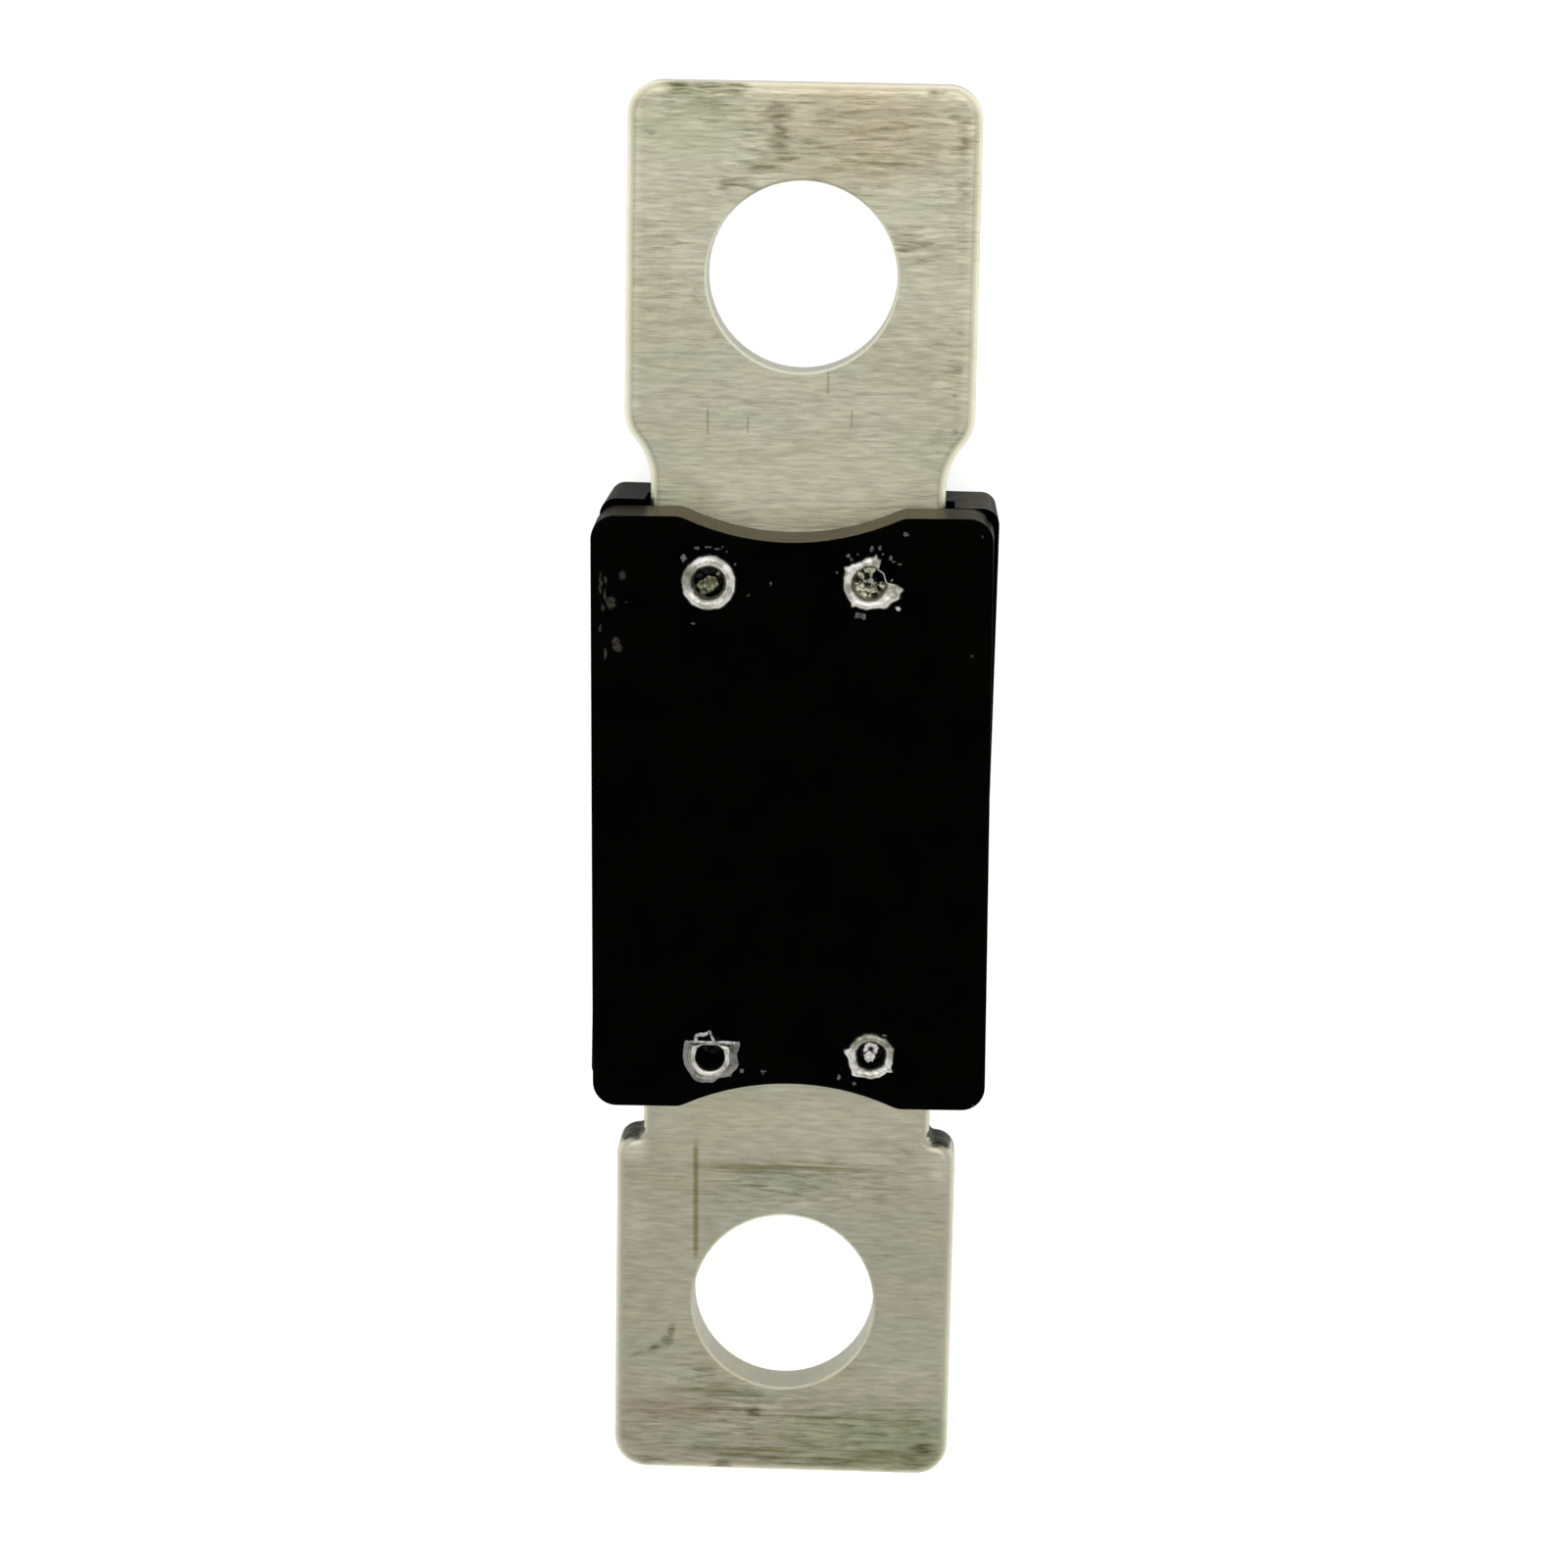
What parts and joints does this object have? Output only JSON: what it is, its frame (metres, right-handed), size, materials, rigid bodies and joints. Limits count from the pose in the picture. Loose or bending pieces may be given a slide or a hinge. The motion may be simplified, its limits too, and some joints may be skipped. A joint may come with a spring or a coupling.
{
  "type": "bolt down strip fuse",
  "caption": "Bolt down strip fuse with a stamped conductor strip, drilled flat terminals and a riveted two-part moulded housing.",
  "frame": {"origin": "centre of the bottom of the bounding box, on the back face of the back cover", "axes": "+Y along the strip towards the terminal with the swept shoulders, +X across it, +Z out of the front cover"},
  "size_m": [0.0194, 0.0688, 0.01],
  "materials": {
    "plated_strip": "cross brushed",
    "black_moulding": "satin moulded",
    "rivet_metal": "bright"
  },
  "bodies": {
    "root": {"fuse_strip": "plated_strip", "front_cover": "black_moulding", "back_cover": "black_moulding", "rivets": "rivet_metal"}
  },
  "joints": []
}
